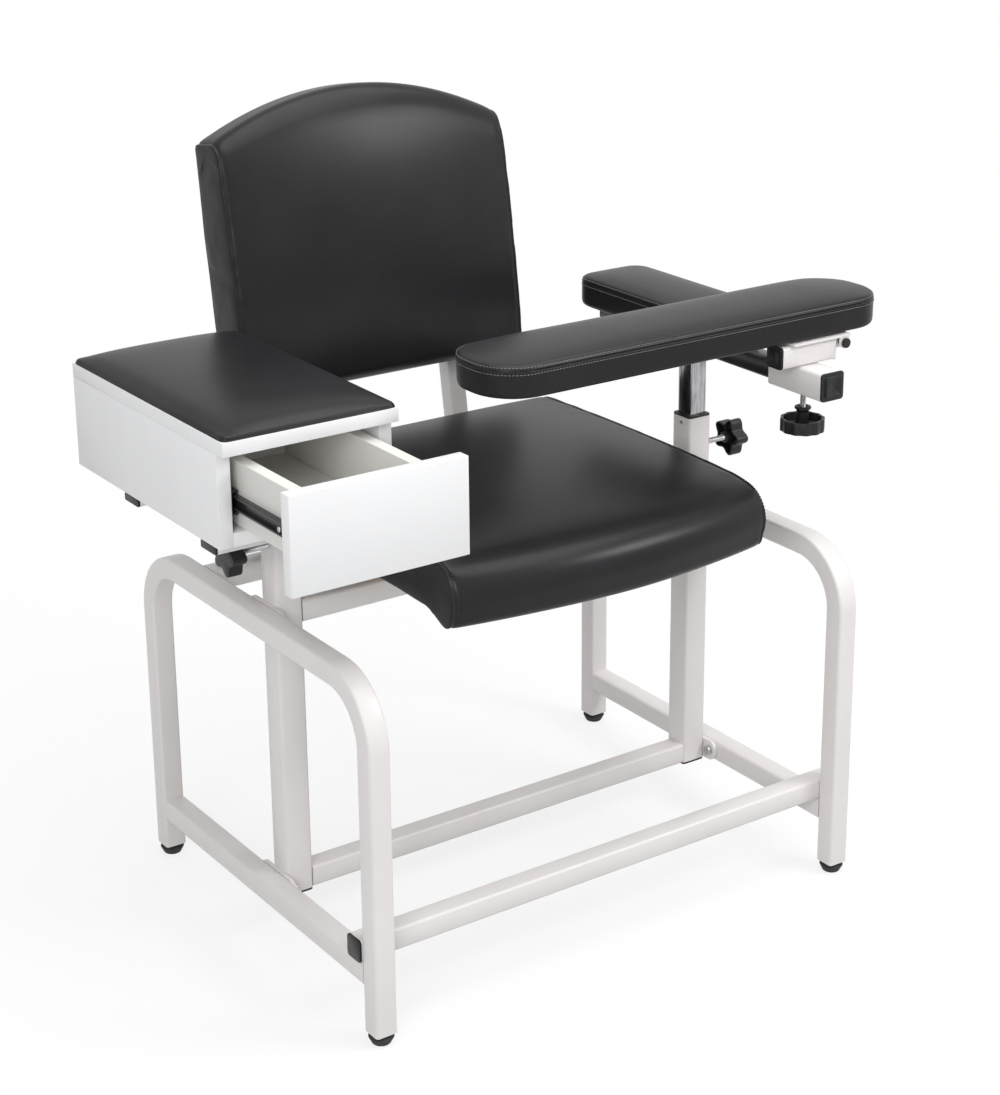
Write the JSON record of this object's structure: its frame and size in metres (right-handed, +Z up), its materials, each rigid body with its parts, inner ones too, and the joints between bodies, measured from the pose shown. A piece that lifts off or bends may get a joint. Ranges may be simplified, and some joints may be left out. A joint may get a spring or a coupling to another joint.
{
  "type": "phlebotomy chair",
  "caption": "Blood-draw chair with padded seat and back, side storage cabinet with drawer, and a padded flip-over arm rest on a height-adjustable post.",
  "frame": {"origin": "on the floor under the middle of the overall box, with the drawer open as pictured", "axes": "+Z up, -Y the way the sitter faces, +X to the sitter's left; the foot pads stand on Z = 0"},
  "size_m": [0.942, 0.7292, 1.0355],
  "materials": {
    "white_paint": "satin",
    "black_paint": "satin",
    "chrome": "polished",
    "steel": "zinc plated",
    "black_plastic": "matte",
    "rubber": "matte",
    "black_vinyl": "semi-gloss vinyl",
    "white_laminate": "satin laminate",
    "board": "plain plywood"
  },
  "bodies": {
    "frame": {"left_loop": "white_paint", "right_loop": "white_paint", "side_rails": "white_paint", "post_tabs": "white_paint", "tab_screws": "steel", "front_crossbar": "white_paint", "post_crossbars": "white_paint", "rear_crossbar": "white_paint", "left_post": "white_paint", "right_post": "white_paint", "tube_plugs": "black_plastic", "post_collars": "black_plastic", "left_seat_tube": "white_paint", "right_seat_tube": "white_paint", "seat_cushion": "black_vinyl", "seat_board": "board", "back_cushion": "black_vinyl", "back_board": "board", "foot_inserts": "black_plastic", "foot_pads": "rubber"},
    "cabinet": {"left_height_tube": "chrome", "left_guide": "black_plastic", "cabinet_frame": "white_paint", "cabinet_frame_plugs": "black_plastic", "cabinet_bottom": "white_laminate", "cabinet_left_side": "white_laminate", "cabinet_right_side": "white_laminate", "cabinet_back": "white_laminate", "cabinet_lid": "white_laminate", "lid_pad": "black_vinyl", "slide_outers": "steel", "slide_stops": "black_plastic"},
    "drawer": {"drawer_front": "white_laminate", "drawer_sides": "white_laminate", "drawer_back": "white_laminate", "drawer_floor": "white_laminate", "slide_inners": "steel"},
    "slide_cages": {"slide_cages": "steel"},
    "arm": {"right_height_tube": "chrome", "right_guide": "black_plastic", "arm_bar": "black_paint", "arm_bar_plugs": "black_plastic", "rear_arm_pad": "black_vinyl", "rear_arm_board": "board"},
    "sleeve": {"sleeve": "white_paint", "sleeve_liner": "black_plastic", "sleeve_plugs": "black_plastic", "arm_tube": "white_paint", "hinge_lug": "white_paint", "hinge_pin": "steel"},
    "front_arm": {"flip_bracket": "white_paint", "front_arm_board": "board", "front_arm_pad": "black_vinyl"},
    "left_knob": {"left_knob": "black_plastic"},
    "right_knob": {"right_knob": "black_plastic"},
    "handwheel": {"handwheel": "black_plastic"}
  },
  "joints": [
    {"name": "left_height", "type": "slide", "parent": "frame", "child": "cabinet", "axis": [0, 0.0323, 0.9995], "range_m": [0, 0.14]},
    {"name": "drawer_slide", "type": "slide", "parent": "cabinet", "child": "drawer", "axis": [0, -0.9995, 0.0323], "range_m": [-0.151, 0.089]},
    {"name": "cage_roll", "type": "slide", "parent": "cabinet", "child": "slide_cages", "axis": [0, -0.9995, 0.0323], "range_m": [-0.0755, 0.0445]},
    {"name": "right_height", "type": "slide", "parent": "frame", "child": "arm", "axis": [0, 0.0323, 0.9995], "range_m": [-0.085, 0.09]},
    {"name": "sleeve_slide", "type": "slide", "parent": "arm", "child": "sleeve", "axis": [0, -0.9995, 0.0323], "range_m": [-0.012, 0.025]},
    {"name": "arm_flip", "type": "hinge", "parent": "sleeve", "child": "front_arm", "pos_m": [0.388, -0.27291, 0.75416], "axis": [0, 0.9995, -0.0323], "range_deg": [0, 95]},
    {"name": "left_knob_turn", "type": "hinge", "parent": "frame", "child": "left_knob", "pos_m": [-0.388, -0.05139, 0.5499], "axis": [-1, 0, 0], "continuous": true},
    {"name": "right_knob_turn", "type": "hinge", "parent": "frame", "child": "right_knob", "pos_m": [0.394, -0.05139, 0.5499], "axis": [1, 0, 0], "continuous": true},
    {"name": "handwheel_turn", "type": "hinge", "parent": "sleeve", "child": "handwheel", "pos_m": [0.333, -0.27959, 0.64032], "axis": [0, 0.0323, 0.9995], "continuous": true}
  ],
  "couplings": [
    {"joint": "cage_roll", "follows": "drawer_slide", "ratio": 0.5}
  ]
}
